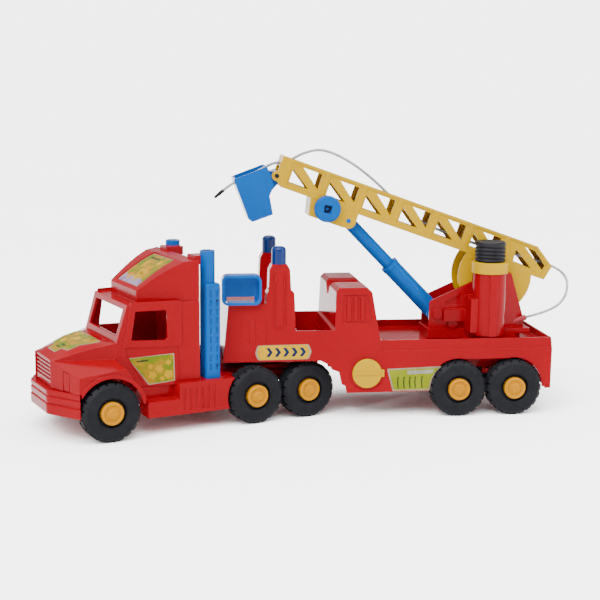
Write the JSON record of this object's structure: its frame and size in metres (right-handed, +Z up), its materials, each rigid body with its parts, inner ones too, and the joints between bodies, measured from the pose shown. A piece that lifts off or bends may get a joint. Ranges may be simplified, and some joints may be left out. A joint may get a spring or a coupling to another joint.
{
  "type": "toy articulated crane lorry",
  "caption": "Toy articulated lorry with a slewing lattice boom, lifting strut, tilting basket, hand pump and hose on a low trailer.",
  "frame": {"origin": "centre of the footprint's bounding box, on the ground under the tyres", "axes": "+X is forward along the trailer, +Y is the lorry's left, +Z is up"},
  "size_m": [0.7668, 0.2922, 0.3674],
  "materials": {
    "red_plastic": "glossy moulded",
    "red_pin": "glossy moulded",
    "yellow_plastic": "glossy moulded",
    "blue_plastic": "glossy moulded",
    "lamp_plastic": "dark blue, glossy",
    "black_plastic": "satin",
    "bellows_rubber": "soft black",
    "tyre": "satin black moulded tyre",
    "hose_vinyl": "milky translucent",
    "steel": "plain rod"
  },
  "bodies": {
    "trailer": {"trailer_body": "red_plastic", "trailer_frame": "red_plastic", "trailer_screws": "steel", "kingpin": "black_plastic", "beacon_left": "lamp_plastic", "beacon_right": "lamp_plastic", "side_tray": "blue_plastic"},
    "tractor": {"tractor_chassis": "red_plastic", "cab_shell": "red_plastic", "front_bumper": "red_plastic", "exhaust_left": "blue_plastic", "exhaust_right": "blue_plastic", "fifth_wheel": "black_plastic", "cab_screws": "steel"},
    "turret": {"turret_base": "red_plastic", "turret_pivot": "black_plastic", "turret_left_cheek": "red_plastic", "turret_right_cheek": "red_plastic", "pump_collar": "yellow_plastic", "hose_spigot": "hose_vinyl", "boom_pivot_pin": "red_pin", "strut_base_pin": "red_pin", "hose_tail": "hose_vinyl"},
    "pump": {"pump_bellows": "bellows_rubber"},
    "boom": {"boom_beam": "yellow_plastic", "boom_bracket": "yellow_plastic", "strut_top_pin": "blue_plastic", "basket_pin": "steel", "hose_main": "hose_vinyl"},
    "winch": {"winch_shaft": "blue_plastic", "winch_knob": "blue_plastic"},
    "strut_tube": {"strut_cylinder": "blue_plastic"},
    "strut_rod": {"strut_rod": "blue_plastic"},
    "basket": {"basket": "blue_plastic", "hose_tip": "hose_vinyl", "nozzle": "black_plastic"},
    "filler": {"filler_cap": "yellow_plastic"},
    "front_axle": {"front_axle_rod": "steel", "front_axle_tyre_left": "tyre", "front_axle_tyre_right": "tyre", "front_axle_caps": "yellow_plastic"},
    "drive_axle_1": {"drive_axle_1_rod": "steel", "drive_axle_1_tyre_left": "tyre", "drive_axle_1_tyre_right": "tyre", "drive_axle_1_caps": "yellow_plastic"},
    "drive_axle_2": {"drive_axle_2_rod": "steel", "drive_axle_2_tyre_left": "tyre", "drive_axle_2_tyre_right": "tyre", "drive_axle_2_caps": "yellow_plastic"},
    "trailer_axle_1": {"trailer_axle_1_rod": "steel", "trailer_axle_1_tyre_left": "tyre", "trailer_axle_1_tyre_right": "tyre", "trailer_axle_1_caps": "yellow_plastic"},
    "trailer_axle_2": {"trailer_axle_2_rod": "steel", "trailer_axle_2_tyre_left": "tyre", "trailer_axle_2_tyre_right": "tyre", "trailer_axle_2_caps": "yellow_plastic"}
  },
  "joints": [
    {"name": "kingpin_swing", "type": "hinge", "parent": "trailer", "child": "tractor", "pos_m": [0.0607, -0.03535, 0.07], "axis": [0, 0, 1], "range_deg": [-45, 4]},
    {"name": "turret_slew", "type": "hinge", "parent": "trailer", "child": "turret", "pos_m": [-0.2543, -0.03535, 0.1], "axis": [0, 0, 1], "continuous": true},
    {"name": "boom_luff", "type": "hinge", "parent": "turret", "child": "boom", "pos_m": [-0.2783, -0.03535, 0.172], "axis": [0, -1, 0], "range_deg": [-17, 17]},
    {"name": "strut_swing", "type": "hinge", "parent": "turret", "child": "strut_tube", "pos_m": [-0.1993, -0.03535, 0.1344], "axis": [0, -1, 0], "range_deg": [-19.6, 19.6]},
    {"name": "strut_slide", "type": "slide", "parent": "strut_tube", "child": "strut_rod", "axis": [0.6986, 0, 0.7155], "range_m": [-0.0245, 0.0245]},
    {"name": "basket_tilt", "type": "hinge", "parent": "boom", "child": "basket", "pos_m": [0.03223, -0.03535, 0.33054], "axis": [0, -1, 0], "range_deg": [-25, 35]},
    {"name": "winch_turn", "type": "hinge", "parent": "boom", "child": "winch", "pos_m": [-0.03819, -0.03535, 0.28526], "axis": [0, -1, 0], "continuous": true},
    {"name": "pump_press", "type": "slide", "parent": "turret", "child": "pump", "axis": [0, 0, 1], "range_m": [-0.012, 0], "stiffness_N_per_m": 400, "springref_m": 0.004, "deforming": ["pump_bellows"]},
    {"name": "filler_turn", "type": "hinge", "parent": "trailer", "child": "filler", "pos_m": [-0.0873, 0.04665, 0.0635], "axis": [0, 1, 0], "range_deg": [0, 90]},
    {"name": "front_axle_spin", "type": "hinge", "parent": "tractor", "child": "front_axle", "pos_m": [0.29076, 0.04975, 0.039], "axis": [-0.3469, 0.9379, 0], "continuous": true},
    {"name": "drive_axle_1_spin", "type": "hinge", "parent": "tractor", "child": "drive_axle_1", "pos_m": [0.0969, -0.02196, 0.039], "axis": [-0.3469, 0.9379, 0], "continuous": true},
    {"name": "drive_axle_2_spin", "type": "hinge", "parent": "tractor", "child": "drive_axle_2", "pos_m": [0.02178, -0.04975, 0.039], "axis": [-0.3469, 0.9379, 0], "continuous": true},
    {"name": "trailer_axle_1_spin", "type": "hinge", "parent": "trailer", "child": "trailer_axle_1", "pos_m": [-0.2178, -0.03535, 0.039], "axis": [0, 1, 0], "continuous": true},
    {"name": "trailer_axle_2_spin", "type": "hinge", "parent": "trailer", "child": "trailer_axle_2", "pos_m": [-0.2982, -0.03535, 0.039], "axis": [0, 1, 0], "continuous": true}
  ],
  "couplings": [
    {"joint": "strut_swing", "follows": "boom_luff", "ratio": 1.15},
    {"joint": "strut_slide", "follows": "boom_luff", "m_per_rad": 0.081}
  ]
}
